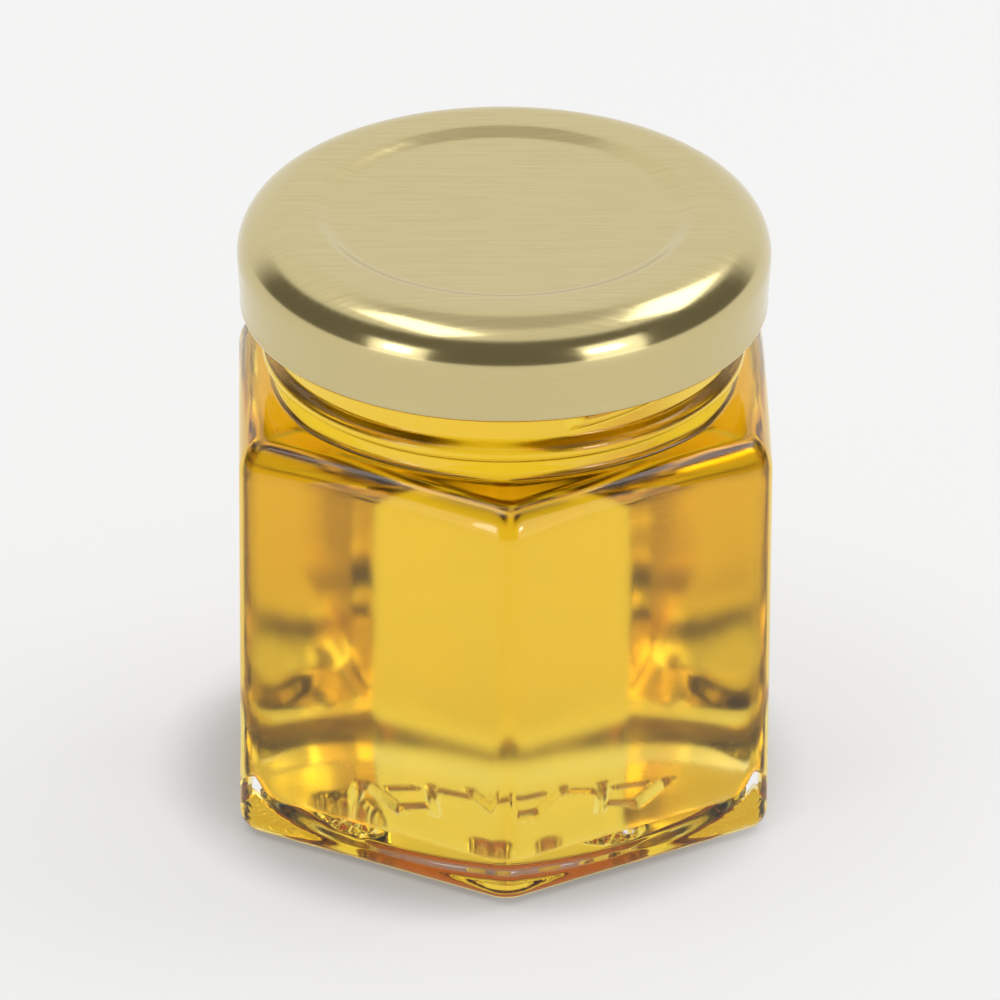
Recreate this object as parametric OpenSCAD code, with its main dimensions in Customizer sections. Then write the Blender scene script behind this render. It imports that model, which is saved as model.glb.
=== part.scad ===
// Small hexagonal honey jar: a glass jar of one piece, the honey that fills it, and a screw lid.
// +Z is up. The origin is on the surface that the jar stands on, on the axis of the neck.
// Two opposite corners of the hexagon lie on the Y axis, and two opposite sides face +X and -X.

/* [Glass body] */
// Width of the body across two opposite flat sides
across_flats = 46; // [42:1:56]
// Rounding of the six upright corners
corner_r = 2.5; // [1.5:0.1:4]
// Rounding of the heel, where the sides turn under into the foot
heel_r = 1.8; // [1.5:0.1:3]
// Rounding where each flat side turns over into the shoulder
shoulder_r = 2.5; // [2:0.1:3.5]
// Height of the shoulder at the foot of the neck
shoulder_z = 38.5; // [32:0.5:46]
// Fall of the shoulder towards the corners, in degrees
shoulder_fall = 14; // [8:1:24]
// Thickness of the six side walls
side_wall = 2.4; // [1.6:0.1:3]
// Thickness of the glass in the shoulder
shoulder_wall = 2.4; // [1.8:0.1:3]
// Thickness of the glass floor at the foot ring
floor_wall = 3.0; // [2.8:0.1:5]
// Rounding of the six inner upright corners
inner_corner_r = 3.0; // [2:0.5:6]
// Rounding round the edge of the inner floor
inner_heel_r = 2.5; // [1.5:0.5:5]

/* [Foot] */
// Radius of the hollow under the foot
hollow_r = 19.0; // [15:0.5:19.5]
// Depth of the hollow at its rounded edge
hollow_edge = 0.7; // [0.4:0.1:1.2]
// Further rise of the hollow from its edge to the axis
hollow_rise = 0.9; // [0.4:0.1:1.5]

/* [Neck] */
// Outer radius of the neck
neck_r = 20.0; // [17:0.25:20.25]
// Thickness of the neck wall
neck_wall = 2.6; // [2:0.1:3.2]
// Rounding in the hollow between neck and shoulder
neck_fillet_r = 1.0; // [0.8:0.1:2]
// Height of the middle of the bead above the shoulder
bead_rise = 2.6; // [2.4:0.1:3.4]
// How far the bead stands out from the neck
bead_out = 0.9; // [0.5:0.1:1.2]
// Thickness of the bead
bead_t = 1.7; // [1.2:0.1:2.4]
// Height of the rim above the shoulder
rim_rise = 15.45; // [13:0.25:18]
// Rounding of the rim's two edges
rim_r = 1.0; // [0.4:0.1:1.2]
// Number of thread lugs on the neck
lug_count = 4; // [3:1:6]
// Arc that each lug spans, in degrees
lug_arc = 62; // [40:1:80]
// Pitch angle of the lugs, in degrees
lug_pitch = 7; // [3:1:9]
// Radius of the round section of a lug
lug_r = 0.9; // [0.6:0.1:1.1]
// Height of the middle of a lug above the shoulder
lug_rise = 6.5; // [6:0.25:9]

/* [Honey] */
// Free height between the honey and the rim
head_space = 3.6; // [2:0.1:8]

/* [Lid] */
// Play between the neck and the narrowest part of the lid's skirt
lid_play = 2.6; // [2.2:0.1:3.2]
// Thickness of the lid's sheet metal
sheet = 0.25; // [0.2:0.05:0.5]
// Height of the whole lid
lid_h = 8.9; // [7:0.1:11]
// Rounding between the lid's top and its skirt
lid_r = 4.1; // [3:0.1:5]
// How much wider the lid is at its top rounding than at its waist
skirt_lean = 0.25; // [0:0.05:0.5]
// Radius of the curl at the lid's lower edge
curl_r = 0.5; // [0.4:0.1:1]
// How far the curl stands out from the waist
curl_out = 0.02; // [0:0.02:0.2]
// Width of the flat ring round the lid's sunk panel
ring_w = 2.35; // [1.5:0.05:3]
// Width of the slope between the ring and the panel
slope_w = 2.0; // [1:0.1:3]
// Depth of the sunk panel
panel_drop = 0.6; // [0.3:0.1:1]

/* [Hidden] */
$fn = 96;
glass_colour = [0.86, 0.90, 0.88, 0.45];
honey_colour = [0.86, 0.55, 0.08, 0.9];
lid_colour = [0.80, 0.73, 0.50];

// Half the width across the flats, outside and inside
flat = across_flats / 2;
inner_flat = flat - side_wall;
// Distance from the axis to the crest of a rounded upright corner
function crest(f, r) = (f - r) / cos(30) + r;
bore_r = neck_r - neck_wall;
rim_z = shoulder_z + rim_rise;
honey_z = rim_z - head_space;
// The shoulder cone passes through this radius at the height shoulder_z
cone_r = neck_r;
inner_cone_z = shoulder_z - shoulder_wall / cos(shoulder_fall);
// Lid: heights and radii from the rim upwards and outwards
lid_top = rim_z + sheet;
lid_low = lid_top - lid_h;
lid_out = neck_r + lid_play + skirt_lean + sheet;
lid_waist = lid_out - skirt_lean;
ring_r = lid_out - lid_r - ring_w;
panel_r = ring_r - slope_w;

// A hexagon with rounded corners; its flat sides lie at distance f from the middle
module rounded_hexagon(f, r) {
    centre = (f - r) / cos(30);
    polygon([
        for (k = [0:5], side = [-30, 30])
            let (t = 30 + 60 * k)
            [centre * cos(t) + r * cos(t + side), centre * sin(t) + r * sin(t + side)]
    ]);
    for (k = [0:5])
        rotate(30 + 60 * k)
            translate([centre, 0])
                circle(r);
}

// A bar between two flat sides, with round lower and upper edges that run along Y
module rounded_bar(f, low, high, r_low, r_high) {
    rotate([90, 0, 0])
        linear_extrude(height = 4 * f, center = true) {
            polygon([
                [-f + r_low, low], [f - r_low, low], [f, low + r_low], [f, high - r_high],
                [f - r_high, high], [-f + r_high, high], [-f, high - r_high], [-f, low + r_low]
            ]);
            for (side = [-1, 1]) {
                translate([side * (f - r_low), low + r_low])
                    circle(r_low);
                translate([side * (f - r_high), high - r_high])
                    circle(r_high);
            }
        }
}

// Half section that limits the corners: round heel, upright crest, round turn and a sloping cone.
// The cone falls at shoulder_fall degrees from the point [cone_r, cone_z].
module corner_limit(reach, low, cone_z, r_low, r_high) {
    turn_x = reach - r_high;
    turn_z = cone_z - (turn_x - cone_r) * tan(shoulder_fall) - r_high / cos(shoulder_fall);
    peak_z = cone_z + cone_r * tan(shoulder_fall);
    polygon([
        [0, low], [reach - r_low, low], [reach, low + r_low], [reach, turn_z],
        [turn_x + r_high * sin(shoulder_fall), turn_z + r_high * cos(shoulder_fall)], [0, peak_z]
    ]);
    translate([reach - r_low, low + r_low])
        circle(r_low);
    translate([turn_x, turn_z])
        circle(r_high);
}

// A six-sided block with all its edges rounded and a shoulder that falls towards the corners
module hexagonal_block(f, low, top, cone_z, r_corner, r_low, r_high) {
    intersection() {
        translate([0, 0, low])
            linear_extrude(height = top - low)
                rounded_hexagon(f, r_corner);
        for (k = [0:2])
            rotate(60 * k)
                rounded_bar(f, low, top, r_low, r_high);
        rotate_extrude()
            corner_limit(crest(f, r_corner), low, cone_z, r_low, r_high);
    }
}

// Half section of the neck: wall with rounded rim, bead, and the fillet down to the shoulder
module neck_section(foot_z) {
    translate([bore_r, foot_z])
        square([neck_wall, rim_z - rim_r - foot_z]);
    translate([bore_r + rim_r, rim_z - 2 * rim_r])
        square([neck_wall - 2 * rim_r, 2 * rim_r]);
    for (x = [bore_r + rim_r, neck_r - rim_r])
        translate([x, rim_z - rim_r])
            circle(rim_r);
    translate([neck_r + bead_out - bead_t / 2, shoulder_z + bead_rise])
        circle(bead_t / 2);
    translate([neck_r - neck_wall / 2, shoulder_z + bead_rise - bead_t / 2])
        square([neck_wall / 2 + bead_out - bead_t / 2, bead_t]);
    difference() {
        translate([neck_r - neck_wall / 2, foot_z])
            square([neck_wall / 2 + neck_fillet_r * 0.7, shoulder_z - foot_z + neck_fillet_r * 0.7]);
        translate([neck_r + neck_fillet_r, shoulder_z + neck_fillet_r * 0.5])
            circle(neck_fillet_r);
    }
}

// Thread lugs round the neck: slightly tilted stretches of a round bar
module lugs() {
    for (k = [0 : lug_count - 1])
        translate([0, 0, shoulder_z + lug_rise])
            rotate([0, 0, (k + 0.5) * 360 / lug_count])
                rotate([lug_pitch, 0, 0])
                    rotate([0, 0, -lug_arc / 2])
                        rotate_extrude(angle = lug_arc)
                            translate([neck_r - 0.1, 0])
                                circle(lug_r);
}

// Everything inside the jar: the hollow body and the bore of the neck
module inside() {
    hexagonal_block(inner_flat, floor_wall, inner_cone_z, inner_cone_z,
        inner_corner_r, inner_heel_r, shoulder_r);
    translate([0, 0, inner_cone_z - shoulder_wall])
        cylinder(r = bore_r, h = rim_z - inner_cone_z + 2 * shoulder_wall);
}

// The hollow under the foot: a short rounded edge and a shallow dome
module foot_hollow() {
    dome_r = (pow(hollow_r - hollow_edge, 2) + pow(hollow_rise, 2)) / (2 * hollow_rise);
    rotate_extrude()
        intersection() {
            translate([0, -1])
                square([hollow_r, 1 + hollow_edge + hollow_rise]);
            union() {
                translate([0, -1])
                    square([hollow_r, 1]);
                square([hollow_r - hollow_edge, hollow_edge]);
                translate([hollow_r - hollow_edge, 0])
                    circle(hollow_edge);
                translate([0, hollow_edge + hollow_rise - dome_r])
                    circle(dome_r);
            }
        }
}

// The glass jar, one piece
module glass_jar() {
    color(glass_colour)
        difference() {
            union() {
                hexagonal_block(flat, 0, shoulder_z, shoulder_z, corner_r, heel_r, shoulder_r);
                rotate_extrude()
                    neck_section(shoulder_z - shoulder_wall);
                lugs();
            }
            inside();
            foot_hollow();
        }
}

// The honey, filled up into the neck
module honey() {
    color(honey_colour)
        intersection() {
            inside();
            cylinder(r = across_flats, h = honey_z);
        }
}

// Half section of the lid's outer skin, drawn sheet by sheet inwards by t
module lid_outline(t) {
    turn_x = lid_out - lid_r;
    turn_z = lid_top - lid_r;
    polygon([
        [0, lid_low - (t > 0 ? 1 : 0)],
        [lid_waist - t, lid_low - (t > 0 ? 1 : 0)],
        [lid_waist - t, lid_low + 2 * curl_r],
        [lid_out - t, turn_z],
        [turn_x, lid_top - t],
        [ring_r, lid_top - t],
        [panel_r, lid_top - panel_drop - t],
        [0, lid_top - panel_drop - t]
    ]);
    translate([turn_x, turn_z])
        circle(lid_r - t);
}

// The screw lid: one pressed sheet with a curled lower edge and a sunk panel
module lid() {
    color(lid_colour)
        rotate_extrude() {
            difference() {
                intersection() {
                    lid_outline(0);
                    translate([0, lid_low + curl_r])
                        square([lid_out, lid_h]);
                }
                lid_outline(sheet);
            }
            translate([lid_waist + curl_out - curl_r, lid_low + curl_r])
                circle(curl_r);
        }
}

glass_jar();
honey();
lid();
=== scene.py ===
# %% [markdown]
# # A small hexagonal honey jar
# The real object is three things: a moulded jar of clear glass, the honey in it, and a pressed
# lid of gold lacquered sheet metal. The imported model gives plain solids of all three. Here each
# one gets a smooth mesh with the small shapes that catch light, and a finish of its own.

# %% Load the frame
import math

import bmesh
import bpy
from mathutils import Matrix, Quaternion, Vector, noise


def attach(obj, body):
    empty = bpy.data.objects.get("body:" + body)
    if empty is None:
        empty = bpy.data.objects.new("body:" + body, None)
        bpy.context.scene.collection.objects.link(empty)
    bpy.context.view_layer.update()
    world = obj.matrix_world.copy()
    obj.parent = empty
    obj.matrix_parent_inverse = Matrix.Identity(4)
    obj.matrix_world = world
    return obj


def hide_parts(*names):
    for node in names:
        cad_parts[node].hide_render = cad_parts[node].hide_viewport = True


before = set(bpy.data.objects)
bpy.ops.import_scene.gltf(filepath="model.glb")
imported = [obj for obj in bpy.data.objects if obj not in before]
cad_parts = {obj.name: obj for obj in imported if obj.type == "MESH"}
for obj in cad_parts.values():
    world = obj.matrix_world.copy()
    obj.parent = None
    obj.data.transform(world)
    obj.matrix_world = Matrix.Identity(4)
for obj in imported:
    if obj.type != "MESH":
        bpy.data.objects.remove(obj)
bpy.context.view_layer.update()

MM = 0.001
scene = bpy.context.scene
print("nodes:", sorted(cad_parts))

# %% [markdown]
# ## The camera
# A small product is shot with a long lens from over a metre away, so that its upright edges stay
# upright. The camera looks down at the jar, one corner of the hexagon faces it, and it is
# turned a third of a degree about its own line of sight.

# %% Camera
AZIMUTH = math.radians(-1.16)
ELEVATION = math.radians(28.11)
ROLL = math.radians(0.30)
DISTANCE = 1.1595
LENS_MM, SENSOR_MM = 478.4, 36
NEAREST, FARTHEST = 0.05, 20
AIM = Vector((-0.25, -0.09, 25.83)) * MM

towards_camera = Vector((
    math.sin(AZIMUTH) * math.cos(ELEVATION),
    -math.cos(AZIMUTH) * math.cos(ELEVATION),
    math.sin(ELEVATION),
))
camera = bpy.data.objects.new("camera", bpy.data.cameras.new("camera"))
scene.collection.objects.link(camera)
camera.location = AIM + towards_camera * DISTANCE
camera.rotation_mode = "QUATERNION"
level = (-towards_camera).to_track_quat("-Z", "Y")
camera.rotation_quaternion = level @ Quaternion((0, 0, 1), ROLL)
camera.data.lens = LENS_MM
camera.data.sensor_width = SENSOR_MM
camera.data.clip_start, camera.data.clip_end = NEAREST, FARTHEST
scene.camera = camera
scene.view_settings.view_transform = "Standard"
print("camera at", [round(c, 3) for c in camera.location])

# %% [markdown]
# ## Sections
# Jar, honey and lid are all turned shapes at heart. So each one starts as a section: a line of
# points from the axis outwards, which is then spun round the axis. Every point also carries how
# far it follows the hexagon: the neck stays round, and the body is pushed out to six sides.

# %% Section helpers
def point(x, z, spread=0.0, fall=0.0, inner=0.0):
    """One point of a section in mm. spread: how far it follows the hexagon. fall: how far it
    sinks towards the corners. inner: 1 on the inside of the wall."""
    return (x, z, spread, fall, inner)


def arc(x, z, radius, start, end, steps, **follow):
    """Points on an arc about (x, z). The angles are in degrees, from outwards to up."""
    turns = [math.radians(start + (end - start) * k / steps) for k in range(steps + 1)]
    return [point(x + radius * math.cos(t), z + radius * math.sin(t), **follow) for t in turns]


def ease(t):
    """0 below 0, 1 above 1, and smooth between."""
    t = min(1.0, max(0.0, t))
    return t * t * (3 - 2 * t)


def between(a, b, steps):
    """The points that lie between two points of a section, without the two."""
    return [tuple(p + (q - p) * k / steps for p, q in zip(a, b)) for k in range(1, steps)]


# %% Spin a section
def spun(section, steps):
    """A bmesh of the section spun all the way round the Z axis."""
    bm = bmesh.new()
    names = ("spread", "fall", "inner")
    layers = [bm.verts.layers.float.new(name) for name in names]
    line = []
    for x, z, *follow in section:
        v = bm.verts.new((x * MM, 0, z * MM))
        for layer, value in zip(layers, follow):
            v[layer] = value
        line.append(v)
    edges = [bm.edges.new(pair) for pair in zip(line, line[1:])]
    bmesh.ops.spin(bm, geom=line + edges, cent=(0, 0, 0), axis=(0, 0, 1), dvec=(0, 0, 0),
                   angle=2 * math.pi, steps=steps, use_merge=True, use_duplicate=False)
    bmesh.ops.remove_doubles(bm, verts=bm.verts[:], dist=1e-7)
    return bm


def finished(bm, name, sharp_degrees=60):
    """A smooth shaded object from a bmesh, with its faces turned outwards."""
    bmesh.ops.recalc_face_normals(bm, faces=bm.faces[:])
    for face in bm.faces:
        face.smooth = True
    limit = math.radians(sharp_degrees)
    for edge in bm.edges:
        edge.smooth = len(edge.link_faces) == 2 and edge.calc_face_angle(0) < limit
    mesh = bpy.data.meshes.new(name)
    bm.to_mesh(mesh)
    bm.free()
    piece = bpy.data.objects.new(name, mesh)
    scene.collection.objects.link(piece)
    triangles = sum(len(p.vertices) - 2 for p in mesh.polygons)
    print(name, "has", triangles, "triangles")
    return piece


# %% [markdown]
# ## From round to hexagonal
# A spun body is round. Each point that belongs to the body moves straight out to where a
# hexagon with rounded corners would be. The spun points are spread evenly, but the corners need
# many of them and the flat sides need few, so the points are also slid round towards the
# corners. The shoulder sinks a little on its way out, and so it ends lower at the corners.

# %% Hexagon helpers
FLAT = 23.0             # axis to a flat side, outside, mm
CORNER_R = 2.6          # rounding of the upright corners
INNER_FLAT = 20.6       # the same two on the inside of the wall
INNER_CORNER_R = 3.0
SHOULDER_FALL = math.tan(math.radians(14))


def reach(turn, flat, radius):
    """Distance from the axis to a rounded hexagon, at an angle in radians from +X."""
    off = math.radians(30) - abs((turn + math.pi / 6) % (math.pi / 3) - math.pi / 6)
    side = math.radians(30) - off
    if flat * math.tan(side) <= (flat - radius) * math.tan(math.radians(30)):
        return flat / math.cos(side)
    centre = (flat - radius) / math.cos(math.radians(30))
    return centre * math.cos(off) + math.sqrt(radius ** 2 - (centre * math.sin(off)) ** 2)


def gathered(turn, share=0.3):
    """The angle slid towards the nearest corner of the hexagon."""
    sixth = math.pi / 3
    corner = (math.floor(turn / sixth) + 0.5) * sixth
    t = (turn - corner) / (sixth / 2)
    return corner + t * (share + (1 - share) * t * t) * sixth / 2


def press_hexagon(bm):
    """Pushes a spun body out to the hexagon, as its points' layers say."""
    spread, fall, inside = (bm.verts.layers.float[n] for n in ("spread", "fall", "inner"))
    for v in bm.verts:
        if v[spread] == 0 and v[fall] == 0:
            continue
        r, turn = math.hypot(v.co.x, v.co.y), math.atan2(v.co.y, v.co.x)
        turn += v[spread] * (gathered(turn) - turn)
        within = v[inside] > 0.5
        flat, radius = (INNER_FLAT, INNER_CORNER_R) if within else (FLAT, CORNER_R)
        out = (reach(turn, flat, radius) - flat) * MM
        r += v[spread] * out
        v.co = (r * math.cos(turn), r * math.sin(turn), v.co.z - v[fall] * out * SHOULDER_FALL)


print("corner to corner, mm:", round(2 * reach(math.pi / 2, FLAT, CORNER_R), 2))

# %% [markdown]
# ## The glass jar
# The wall of a moulded jar is thick and uneven: thin at the sides, and thick in the floor and
# the corners. Its section goes once round the glass: out under the foot, up the side, over the
# shoulder, past the bead to the rim, and down the inside to the floor.

# %% Inside line
RIM_Z = 53.93
BORE = 17.4
HONEY_Z = 50.35
SLOPE = 76              # degrees: where the roundings of the shoulder meet its slope
FLOOR_Z, FLOOR_RISE = 2.8, 0.4      # the floor swells a little in its middle
FLOOR_END = 18.2


def inside_line(grow=0.0):
    """The inside of the wall from the middle of the floor up into the neck. grow moves it
    that far out into the glass."""
    at = dict(inner=1.0)
    floor = [point(x, FLOOR_Z - grow + FLOOR_RISE * (1 - ease(x / 15)), ease((x - 8) / 10.2),
                   0, 1) for x in [FLOOR_END * k / 14 for k in range(14)]]
    heel = arc(FLOOR_END, 5.2, 2.4 + grow, -90, 0, 12, spread=1, **at)
    shoulder = arc(18.1, 33.5, 2.5 + grow, 0, SLOPE, 10, spread=1, fall=1, **at)
    wall = between(heel[-1], shoulder[0], 6)
    foot = arc(BORE + 1.2, 37.2, 1.2 - grow, 180 + SLOPE, 180, 8, **at)
    bore = between(foot[-1], point(BORE + grow, HONEY_Z, **at), 14)
    return floor + heel + wall + shoulder + foot + bore + [point(BORE + grow, HONEY_Z, **at)]


print("inside line:", len(inside_line()), "points")

# %% [markdown]
# The foot is where a moulded jar is most alive. It stands on a ring, the middle is hollow so
# that it can't rock, and the hollow carries small raised marks of the mould. Seen down through
# the honey, all of this bends the light that comes up from the table.

# %% Foot, side and neck
HOLLOW_R, RING_IN, RING_OUT, HEEL_R = 17.2, 19.4, 21.2, 1.8
HOLLOW_RINGS = 64


def foot_height(x):
    """Height of the underside above the table, in mm, at a distance from the axis."""
    dome = 1.0 + 0.7 * (1 - (x / HOLLOW_R) ** 2) if x < HOLLOW_R else 1.0
    return dome * (1 - ease((x - HOLLOW_R) / 2.2))


hollow = [point(x, foot_height(x))
          for x in [RING_IN * k / HOLLOW_RINGS for k in range(HOLLOW_RINGS)]]
ring = [point(RING_IN, 0), *between(point(RING_IN, 0), point(RING_OUT, 0, 1), 8)]
heel = arc(RING_OUT, HEEL_R, HEEL_R, -90, 0, 14, spread=1)
shoulder = arc(20.2, 35.85, 2.8, 0, SLOPE, 14, spread=1, fall=1)
# The shoulder falls more at its outer edge than at the neck, where it is nearly level.
shoulder = [point(x, z, spread, 1.1 - 0.7 * ease(k / 14))
            for k, (x, z, spread, *_) in enumerate(shoulder)]
side = between(heel[-1], shoulder[0], 8)
fillet = arc(20.7, 39.32, 0.7, 180 + SLOPE, 180, 8, fall=0.3)
slope = between(shoulder[-1], fillet[0], 4)

BEAD_Z, BEAD_HALF, BEAD_OUT = 41.15, 1.1, 0.95
NECK = 20.0


def neck_reach(z):
    """Radius of the neck with its bead, at a height in mm."""
    t = (z - BEAD_Z) / BEAD_HALF
    return NECK + (BEAD_OUT * (1 - t * t) ** 1.2 if abs(t) < 1 else 0)


heights = [39.4 + 0.16 * k for k in range(58)] + [49, 50, 51, 52]
neck = [point(neck_reach(z), z, fall=0.3 * (1 - ease((z - 39.3) / 0.8))) for z in heights]
rim = arc(NECK - 1, RIM_Z - 1, 1, 0, 90, 6) + arc(BORE + 1, RIM_Z - 1, 1, 90, 180, 6, inner=1)
outside = hollow + ring + heel + side + shoulder + slope + fillet + neck
jar_section = outside + rim + inside_line()[::-1]
print("jar section:", len(jar_section), "points")

# %% Spin the jar and press it to six sides
JAR_STEPS = 312
jar_bm = spun(jar_section, JAR_STEPS)
press_hexagon(jar_bm)

# %% [markdown]
# The neck has short slanted lugs that the lid grips, just under its rim. They are pushed out
# of the neck where they are, and not laid on it, so that the glass stays one skin.

# %% Thread lugs
LUG_Z, LUG_OUT, LUG_HALF, LUG_ARC, LUG_CLIMB = 45.0, 0.8, 1.0, 31, 2.4


def lug_height(turn_degrees, z):
    """How far a lug stands out of the neck, from 0 to 1."""
    along = (turn_degrees % 90) - 45
    across = (z - LUG_Z - LUG_CLIMB * math.sin(math.radians(along))) / LUG_HALF
    if abs(across) >= 1:
        return 0
    return (1 - across ** 2) ** 0.8 * ease((LUG_ARC - abs(along)) / 4)


for v in jar_bm.verts:
    r, z = math.hypot(v.co.x, v.co.y) / MM, v.co.z / MM
    if 42.3 < z < 49 and r > NECK - 0.5:
        out = LUG_OUT * lug_height(math.degrees(math.atan2(v.co.y, v.co.x)), z)
        v.co.x *= 1 + out / r
        v.co.y *= 1 + out / r

# %% [markdown]
# The marks of the mould are plain ones: a row of slanted bars over the middle of the hollow, a
# round dimple, two patches of rough metal and fine stippling on the ring that the jar stands on.

# %% Mould marks under the foot
# Each bar is its middle in mm, half its length and its slant in degrees.
BARS = [(-8.8, -0.6, 3.0, 70), (-6.4, -1.4, 3.8, 105), (-3.8, 1.4, 1.3, 15),
        (-3.6, -3.4, 1.2, 15), (-1.3, -1.0, 4.0, 80), (1.5, 1.2, 1.6, 160),
        (3.9, -0.9, 4.0, 100), (6.3, 1.6, 1.2, 10), (6.5, -3.2, 1.4, 170), (8.9, -0.6, 3.4, 75)]
PATCHES = [(-11.2, -7.0, 3.8, 7.0), (7.4, -12.2, 3.4, 2.8)]
DIMPLE = (1.0, -11.6)


def bump(distance, radius):
    """A round-topped bump: 1 in its middle and 0 past its radius."""
    return ease(1 - distance / radius)


def mark_depth(x, y):
    """How far the marks stand out of the hollow at a place under the foot, in mm."""
    deep = 0.0
    if abs(x) < 12 and abs(y) < 7:
        for bar_x, bar_y, half, slant in BARS:
            c, s = math.cos(math.radians(slant)), math.sin(math.radians(slant))
            dx, dy = x - bar_x, y - bar_y
            gap = math.hypot(max(0, abs(dx * c + dy * s) - half), dx * s - dy * c)
            deep = max(deep, 0.6 * bump(gap, 0.8))
    for patch_x, patch_y, half_x, half_y in PATCHES:
        inside = 1 - math.hypot((x - patch_x) / half_x, (y - patch_y) / half_y)
        if inside > 0:
            rough = 0.5 + noise.noise(Vector((x * 1.1, y * 1.1, 0.0)))
            deep = max(deep, 0.75 * rough * ease(inside * 2.5))
    ring = abs(math.hypot(x - DIMPLE[0], y - DIMPLE[1]) - 0.9)
    return max(deep, 0.5 * bump(ring, 0.7))


def stipple(x, y):
    """Height of the stippling on the foot ring, in mm."""
    return 0.11 * max(0, math.sin(x * 5.2) * math.sin(y * 5.2))


for v in jar_bm.verts:
    x, y, z = v.co / MM
    r = math.hypot(x, y)
    if z < 2.0 and r < 17.6:
        v.co.z -= min(mark_depth(x, y), z) * MM
    elif z < 0.02 and r < 21.3:
        v.co.z += stipple(x, y) * MM

# %% Jar object
WETTED = 1
inside_layer = jar_bm.verts.layers.float["inner"]
for face in jar_bm.faces:
    wet = all(v[inside_layer] > 0.5 and v.co.z <= (HONEY_Z + 0.01) * MM for v in face.verts)
    face.material_index = WETTED if wet else 0
jar = finished(jar_bm, "jar_glass")

# %% [markdown]
# ## The honey
# Honey wets the glass, so there is no air between them. Its skin is the inside line moved a
# tenth of a millimetre out into the wall, closed by a level surface that creeps up at the rim.

# %% Honey
WALL_OVERLAP = 0.1
CREEP = 0.3
surface = [point(x, HONEY_Z - CREEP * (1 - ease((x - 14) / 3.5)), inner=1)
           for x in (17.2, 16.9, 16.5, 16, 15.4, 14.7, 14, 10, 5, 0)]
HONEY_STEPS = 240
honey_bm = spun(inside_line(WALL_OVERLAP) + surface, HONEY_STEPS)
press_hexagon(honey_bm)
honey = finished(honey_bm, "honey_fill")

# %% [markdown]
# ## The lid
# The lid is pressed from one round blank: a sunk panel, a flat ring, a wide rounding and an
# upright skirt whose edge is curled inwards. The section is the sheet with both its faces. The
# blank was brushed in one direction before it was pressed, so each point also keeps where it
# lay on the flat blank, in a UV map, and the brush lines follow the metal round the edge.

# %% Lid section
LID_TOP, LID_LOW, LID_OUT = 54.2, 45.3, 23.1
LID_R, SHEET, WAIST, WAIST_Z = 4.1, 0.25, 22.85, 46.4
CURL_R, CURL_OUT = 0.45, 0.02
RING_R, PANEL_R, PANEL_DROP = 16.65, 14.65, 0.6


def lid_skin(depth):
    """The lid's outer skin from the axis to the waist, moved in by depth."""
    top = LID_TOP - depth
    panel = [point(x, top - PANEL_DROP) for x in (0, 4, 8, 11, 13, 14, 14.4)]
    width = RING_R - PANEL_R
    step = [point(PANEL_R + width * k / 14, top - PANEL_DROP * (1 - ease(k / 14)))
            for k in range(15)]
    flat = [point(x, top) for x in (17.1, 17.8, 18.5)]
    turn = arc(LID_OUT - LID_R, LID_TOP - LID_R, LID_R - depth, 90, 0, 28)
    waist = point(WAIST - depth, WAIST_Z)
    return panel + step + flat + turn + between(turn[-1], waist, 6) + [waist]


CURL_X = WAIST + CURL_OUT - CURL_R
curl = arc(CURL_X, LID_LOW + CURL_R, CURL_R, 10, -240, 26)
lid_section = lid_skin(0) + curl + lid_skin(SHEET)[::-1]
LID_STEPS = 256
lid_bm = spun(lid_section, LID_STEPS)
print("lid section:", len(lid_section), "points")

# %% Blank coordinates for the brushing
blank = lid_bm.loops.layers.uv.new("blank")
path = [(0.0, 0.0)]
for (x0, z0, *_), (x1, z1, *_) in zip(lid_section, lid_section[1:]):
    path.append((path[-1][0] + math.hypot(x1 - x0, z1 - z0), x1))
lookup = {(round(x, 3), round(z, 3)): run for (run, _), (x, z, *_) in zip(path, lid_section)}
for face in lid_bm.faces:
    for loop in face.loops:
        co = loop.vert.co / MM
        r = math.hypot(co.x, co.y)
        run = lookup.get((round(r, 3), round(co.z, 3)), r)
        turn = math.atan2(co.y, co.x)
        loop[blank].uv = (run * math.cos(turn) * MM, run * math.sin(turn) * MM)
lid = finished(lid_bm, "lid_cap")

# %% [markdown]
# ## Shader maths
# Shader nodes are awkward to write one by one. This small class wraps a socket, so that an
# expression such as 1 - mask * 0.5 adds the Math nodes that it needs.

# %% Socket class
class Sock:
    """A socket of a node tree that can be used in Python expressions."""

    def __init__(self, tree, socket):
        self.tree, self.socket = tree, socket

    def node(self, kind, settings=None, out=0, **inputs):
        """Adds a node. settings are set first, then its sockets, by name or as _0, _1."""
        made = self.tree.nodes.new(kind)
        for key, value in (settings or {}).items():
            setattr(made, key, value)
        for key, value in inputs.items():
            which = int(key[1:]) if key[1:].isdigit() else key.replace("_", " ")
            target = made.inputs[which]
            if isinstance(value, Sock):
                self.tree.links.new(value.socket, target)
            else:
                target.default_value = value
        return Sock(self.tree, made.outputs[out])

    def maths(self, operation, *values):
        numbered = {f"_{k}": value for k, value in enumerate(values)}
        return self.node("ShaderNodeMath", {"operation": operation}, **numbered)

    def __add__(self, other): return self.maths("ADD", self, other)
    def __sub__(self, other): return self.maths("SUBTRACT", self, other)
    def __rsub__(self, other): return self.maths("SUBTRACT", other, self)
    def __mul__(self, other): return self.maths("MULTIPLY", self, other)

    def mapped(self, low, high, to_low=0.0, to_high=1.0):
        """The value moved from one range to another, smoothly, and held at the ends."""
        return self.node("ShaderNodeMapRange", {"interpolation_type": "SMOOTHSTEP"},
                         _0=self, _1=low, _2=high, _3=to_low, _4=to_high)


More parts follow.
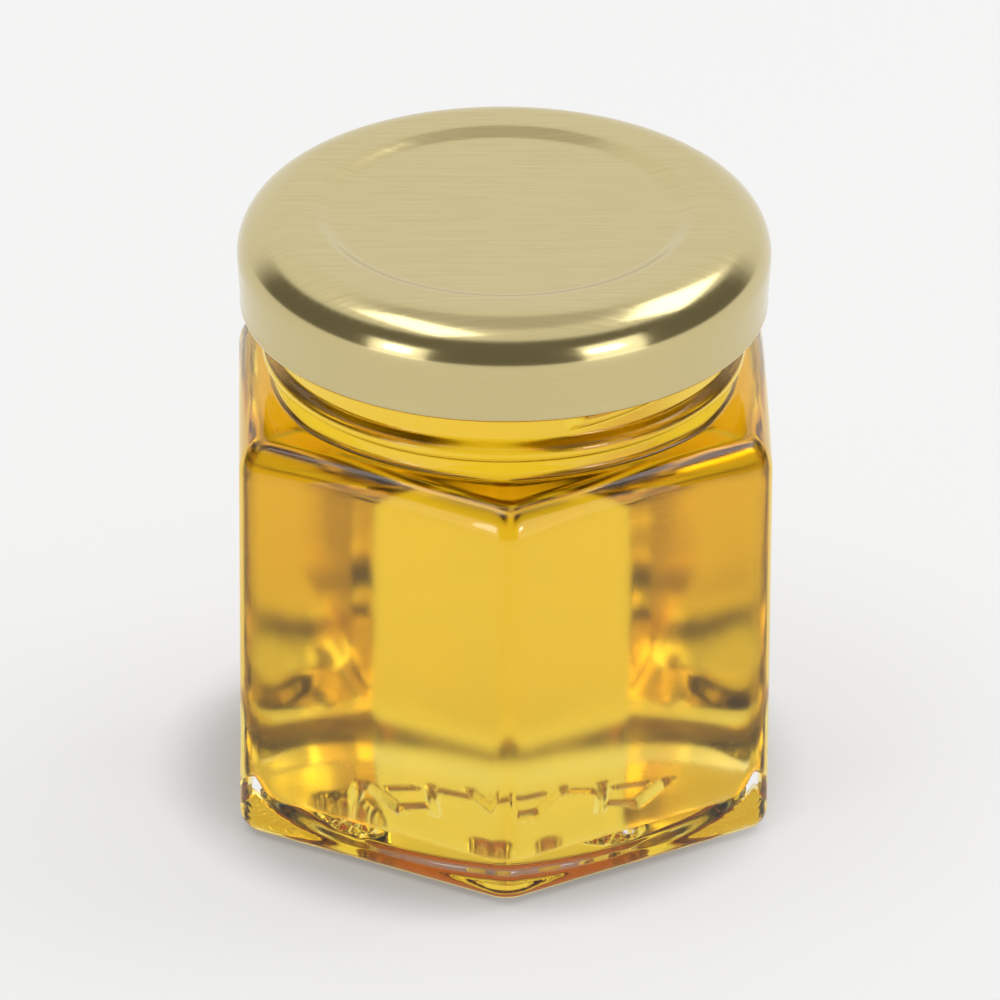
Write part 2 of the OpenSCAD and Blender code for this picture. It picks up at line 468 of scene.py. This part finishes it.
def new_material(name):
    """A new material, with its node tree and its Principled shader."""
    material = bpy.data.materials.new(name)
    material.use_nodes = True
    tree = material.node_tree
    shader = next(n for n in tree.nodes if n.type == "BSDF_PRINCIPLED")
    return material, tree, shader


# %% [markdown]
# ## Glass and honey
# Clear glass lets light through and bends it. Where honey wets it, nothing bends: honey and
# glass slow light by nearly the same amount. So the wetted skin of the glass and the skin of
# the honey both pass light straight on, and the outside of the glass does the bending. The
# colour of honey comes from its depth, so it is a Volume Absorption and not a surface colour.

# %% Glass
def clear_shader(name, ior):
    """A material that passes light through and bends it by its index."""
    material, tree, shader = new_material(name)
    shader.inputs["Transmission Weight"].default_value = 1.0
    shader.inputs["IOR"].default_value = ior
    shader.inputs["Roughness"].default_value = 0.0
    shader.inputs["Base Color"].default_value = (1, 1, 1, 1)
    return material, tree, shader


glass, glass_tree, glass_shader = clear_shader("clear_glass", 1.49)
place = Sock(glass_tree, None).node("ShaderNodeTexCoord", out=3)
ripple = place.node("ShaderNodeTexNoise", _0=place, Scale=140.0, Detail=1.0, Roughness=0.4)
uneven = place.node("ShaderNodeBump", Strength=0.25, Distance=0.00006, Height=ripple)
glass_tree.links.new(uneven.socket, glass_shader.inputs["Normal"])

wetted = clear_shader("wetted_glass", 1.0)[0]
jar.data.materials.append(glass)
jar.data.materials.append(wetted)
print("jar finishes:", [m.name for m in jar.data.materials])

# %% [markdown]
# Real honey is never quite clear. A rough skin blurs what is seen through it, and more so
# higher up, so that the marks under the foot still show.

# %% Honey finish
HONEY_DENSITY = 95.0
HONEY_TINT = (0.9845, 0.88, 0.075, 1)
syrup, syrup_tree, syrup_shader = clear_shader("clear_honey", 1.03)
absorb = Sock(syrup_tree, None).node("ShaderNodeVolumeAbsorption",
                                     Color=HONEY_TINT, Density=HONEY_DENSITY)
axes = Sock(syrup_tree, None).node("ShaderNodeTexCoord", out=3)
height = axes.node("ShaderNodeSeparateXYZ", out=2, _0=axes)
cloudy = height.mapped(0.005, 0.015, 0.18, 0.45)
syrup_tree.links.new(cloudy.socket, syrup_shader.inputs["Roughness"])
output = next(n for n in syrup_tree.nodes if n.type == "OUTPUT_MATERIAL")
syrup_tree.links.new(absorb.socket, output.inputs["Volume"])
honey.data.materials.append(syrup)
print("honey colour per depth:", HONEY_TINT[:3], "at density", HONEY_DENSITY)

# %% [markdown]
# ## Brushed gold metal
# The lid is tinplate under a gold lacquer. Its brush lines are fine and long, they run one way
# over the whole blank, and they spread a reflection across themselves.

# %% Lid finish
gold, gold_tree, gold_shader = new_material("brushed_gold")
sheet_place = Sock(gold_tree, None).node("ShaderNodeTexCoord", out=2)
along = sheet_place.node("ShaderNodeMapping", _0=sheet_place, Scale=(160.0, 7000.0, 1.0))
streaks = along.node("ShaderNodeTexNoise", _0=along, Scale=1.0, Detail=3.0, Roughness=0.65)
wide = sheet_place.node("ShaderNodeMapping", _0=sheet_place, Scale=(90.0, 2600.0, 1.0))
bands = wide.node("ShaderNodeTexNoise", _0=wide, Scale=1.0, Detail=2.0, Roughness=0.5)
run = sheet_place.node("ShaderNodeVectorMath", {"operation": "LENGTH"}, out=1, _0=sheet_place)
flat = run.mapped(0.021, 0.025, 1.0, 0.25)
tone = (streaks * 0.6 + bands * 0.4 - 0.5) * flat * 0.6 + 0.38 + flat * 0.12
tone = tone.mapped(0.3, 0.7)
colour = tone.node("ShaderNodeMix", {"data_type": "RGBA"}, out=2, _0=tone,
                   _6=(0.60, 0.505, 0.25, 1), _7=(0.72, 0.61, 0.315, 1))
rough = tone.mapped(0.0, 1.0, 0.14, 0.22)
relief = streaks * flat
grain = relief.node("ShaderNodeBump", Strength=0.18, Distance=0.00001, Height=relief)
gold_tree.links.new(colour.socket, gold_shader.inputs["Base Color"])
gold_tree.links.new(rough.socket, gold_shader.inputs["Roughness"])
gold_tree.links.new(grain.socket, gold_shader.inputs["Normal"])
gold_shader.inputs["Metallic"].default_value = 1.0
lid.data.materials.append(gold)
print("lid finish:", len(gold_tree.nodes), "nodes")

# %% [markdown]
# ## Table and light
# The jar stands on a pale seamless table, which also gives off a little light of its own. Close
# round the jar that glow is turned down, which is a painted soft shadow round the foot. The glow
# keeps the table bright without a second, hard shadow.

# %% Table
TABLE_REACH = 0.75
PALE = 0.887            # how bright the table and the room behind it look
GLOW = 0.57             # the share of it that the table gives off by itself
PAPER = 0.45            # how much of the light on it the table gives back
PAINTED_SHADE_AT = (-0.002, -0.0015, 0)     # middle of the painted shade under the jar
SHADE_FROM, SHADE_TO = 0.021, 0.030 # it fades out between these distances, m
PAINTED_SHADE_LEAST = 0.42
floor_bm = bmesh.new()
bmesh.ops.create_circle(floor_bm, cap_ends=True, cap_tris=False, segments=96,
                        radius=TABLE_REACH)
TABLE_GAP = 0.06 * MM
bmesh.ops.translate(floor_bm, verts=floor_bm.verts[:], vec=(0, 0, -TABLE_GAP))
table = finished(floor_bm, "table")
paper, paper_tree, paper_shader = new_material("pale_paper")
paper_shader.inputs["Base Color"].default_value = (PAPER, PAPER, PAPER, 1)
paper_shader.inputs["Roughness"].default_value = 0.7
paper_shader.inputs["Specular IOR Level"].default_value = 0.1
paper_axes = Sock(paper_tree, None).node("ShaderNodeTexCoord", out=3)
from_jar = paper_axes.node("ShaderNodeVectorMath", {"operation": "DISTANCE"}, out=1,
                           _0=paper_axes, _1=PAINTED_SHADE_AT)
# painted shadow: the table gives off less light close to the jar
painted_near_shade = from_jar.mapped(SHADE_FROM, SHADE_TO, PAINTED_SHADE_LEAST, 1.0)
paper_tree.links.new(painted_near_shade.socket, paper_shader.inputs["Emission Color"])
paper_shader.inputs["Emission Strength"].default_value = PALE * GLOW
paper.cycles.emission_sampling = "NONE"
table.data.materials.append(paper)
print("table:", round(2 * TABLE_REACH, 2), "m across")

# %% [markdown]
# Two wide soft lights hang over the jar, one high on the left and one behind on the right, and
# two low cards stand beside the camera. Two small bright lights only make glints: no light of
# theirs reaches the table, or passes through the honey.

# %% Soft lights
def soft_light(name, azimuth, elevation, distance, size, radiance):
    """A rectangular light that faces the jar. Azimuth 0 is the camera's side, 90 its right."""
    a, e = math.radians(azimuth), math.radians(elevation)
    away = Vector((math.sin(a) * math.cos(e), -math.cos(a) * math.cos(e), math.sin(e)))
    data = bpy.data.lights.new(name, "AREA")
    data.shape = "RECTANGLE"
    data.size, data.size_y = size
    data.energy = radiance * math.pi * size[0] * size[1]
    light = bpy.data.objects.new(name, data)
    scene.collection.objects.link(light)
    light.location = Vector((0, 0, 0.05)) + away * distance
    light.rotation_mode = "QUATERNION"
    light.rotation_quaternion = away.to_track_quat("Z", "Y")
    light.visible_camera = False
    return light


soft_light("light_top_left", -68, 66, 1.0, (0.62, 0.34), 2.2)
soft_light("light_right_back", 110, 49, 1.0, (0.58, 0.42), 2.5)
soft_light("card_front_right", 45, 10, 0.5, (0.24, 0.32), 1.5)
soft_light("card_front_left", -45, 8, 0.5, (0.22, 0.24), 1.4)
for spark in (soft_light("light_front_right", 41, 14, 0.45, (0.09, 0.06), 12.0),
              soft_light("light_front_left", -45, 10, 0.45, (0.08, 0.10), 5.0)):
    spark.visible_transmission = spark.visible_diffuse = False

# %% [markdown]
# A few more pieces of the set stand in for what cloudy honey does to light. A ring round the jar,
# met only by light that has passed the glass, lifts the dark parts of the honey. A disc under
# the foot is the light that the honey gathers there. A sleeve round the body and its heel, met
# only by light from the table, gives the jar the shadow of a body that isn't quite clear.

# %% Stand-ins for cloudy honey
HAZE = 0.71                         # how bright the ring is
HAZE_R, HAZE_H = 700, 1200          # its radius and height, mm
HAZE_BACK = 0.28                    # it is left open past this y, m
GATHERED, GATHERED_GLOW = (1.0, 0.68, 0.09, 1), 0.86
SHADE = (0.30, 0.20, 0.09, 1)
SHADE_R, SHADE_TOP = 26.62, 37      # just outside the corners, mm
HEEL_IN, HEEL_TOP = 24.4, 1.9       # the sleeve's foot is drawn in under the heel, mm
RAYS = ("camera", "glossy", "diffuse", "shadow", "transmission")


def stand_in(bm, name, colour, glow, met_by):
    """A piece of the set that only some kinds of light meet."""
    piece = finished(bm, name)
    material, _, shader = new_material(name)
    shader.inputs["Base Color"].default_value = colour if glow == 0 else (0, 0, 0, 1)
    shader.inputs["Specular IOR Level"].default_value = 0.0
    shader.inputs["Roughness"].default_value = 1.0
    shader.inputs["Emission Color"].default_value = colour
    shader.inputs["Emission Strength"].default_value = glow
    material.cycles.emission_sampling = "NONE"
    piece.data.materials.append(material)
    for ray in RAYS:
        setattr(piece, "visible_" + ray, ray in met_by)


def tube(segments, radius, low, high, foot=None):
    """An open upright tube, with another radius at the foot if one is given."""
    bm = bmesh.new()
    bmesh.ops.create_cone(bm, cap_ends=False, segments=segments, radius1=(foot or radius) * MM,
                          radius2=radius * MM, depth=(high - low) * MM)
    bmesh.ops.translate(bm, verts=bm.verts[:], vec=(0, 0, (low + high) / 2 * MM))
    return bm


gathered_bm = bmesh.new()
bmesh.ops.create_circle(gathered_bm, cap_ends=True, cap_tris=False, segments=6, radius=26 * MM)
bmesh.ops.translate(gathered_bm, verts=gathered_bm.verts[:], vec=(0, 0, -TABLE_GAP / 3))
stand_in(gathered_bm, "light_under_foot", GATHERED, GATHERED_GLOW, ("transmission",))
haze_bm = tube(64, HAZE_R, 0, HAZE_H)
behind = [v for v in haze_bm.verts if v.co.y > HAZE_BACK]
bmesh.ops.delete(haze_bm, geom=behind, context="VERTS")
stand_in(haze_bm, "haze_ring", (1, 1, 1, 1), HAZE, ("transmission",))
for name, shade_bm in (("shade_sleeve", tube(6, SHADE_R, HEEL_TOP, SHADE_TOP)),
                       ("shade_heel", tube(6, SHADE_R, 0.05, HEEL_TOP, foot=HEEL_IN))):
    stand_in(shade_bm, name, SHADE, 0, ("diffuse", "shadow"))

# %% [markdown]
# The room is pale behind the jar and overhead, with a duller patch above, and dim in front.
# That is what gives the gold its dark bands, and the honey its deeper sides.

# %% Room light
ROOM_DARK = (0.185, 0.175, 0.15, 1)
world = bpy.data.worlds.new("room")
world.use_nodes = True
scene.world = world
tree = world.node_tree
look = Sock(tree, None).node("ShaderNodeTexCoord", out=0)


def facing(azimuth, elevation):
    """How squarely a direction faces a point of the room, as a cosine."""
    a, e = math.radians(azimuth), math.radians(elevation)
    aim = (math.sin(a) * math.cos(e), -math.cos(a) * math.cos(e), math.sin(e))
    return look.node("ShaderNodeVectorMath", {"operation": "DOT_PRODUCT"}, out=1,
                     _0=look, _1=aim)


canopy = facing(180, 72.5).mapped(0.55, 0.67)
sweep = facing(180, 0).mapped(0.42, 0.72)
dim = facing(180, 74).mapped(0.90, 0.97) * 0.4
lit = canopy.maths("MAXIMUM", canopy, sweep) * (1 - dim)
background = next(n for n in tree.nodes if n.type == "BACKGROUND")
tint = lit.node("ShaderNodeMix", {"data_type": "RGBA"}, out=2, _0=lit,
                _6=ROOM_DARK, _7=(PALE, PALE, PALE, 1))
tree.links.new(tint.socket, background.inputs["Color"])
background.inputs["Strength"].default_value = 1.0

# Light that passes the honey is bent many times before it leaves the jar.
PASSES = 24
scene.cycles.max_bounces = PASSES
scene.cycles.transmission_bounces = PASSES
scene.cycles.glossy_bounces = 4
scene.cycles.diffuse_bounces = 1

print("light may pass", PASSES, "surfaces")

# %% [markdown]
# Last, each piece rides on the one body of the model and takes the place of its plain solid.

# %% Hang the pieces on the model
for piece, node, slot in ((jar, "glass_jar", "glass"), (honey, "honey", "honey"),
                          (lid, "lid", "lid_metal")):
    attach(piece, "root")
    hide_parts(node)
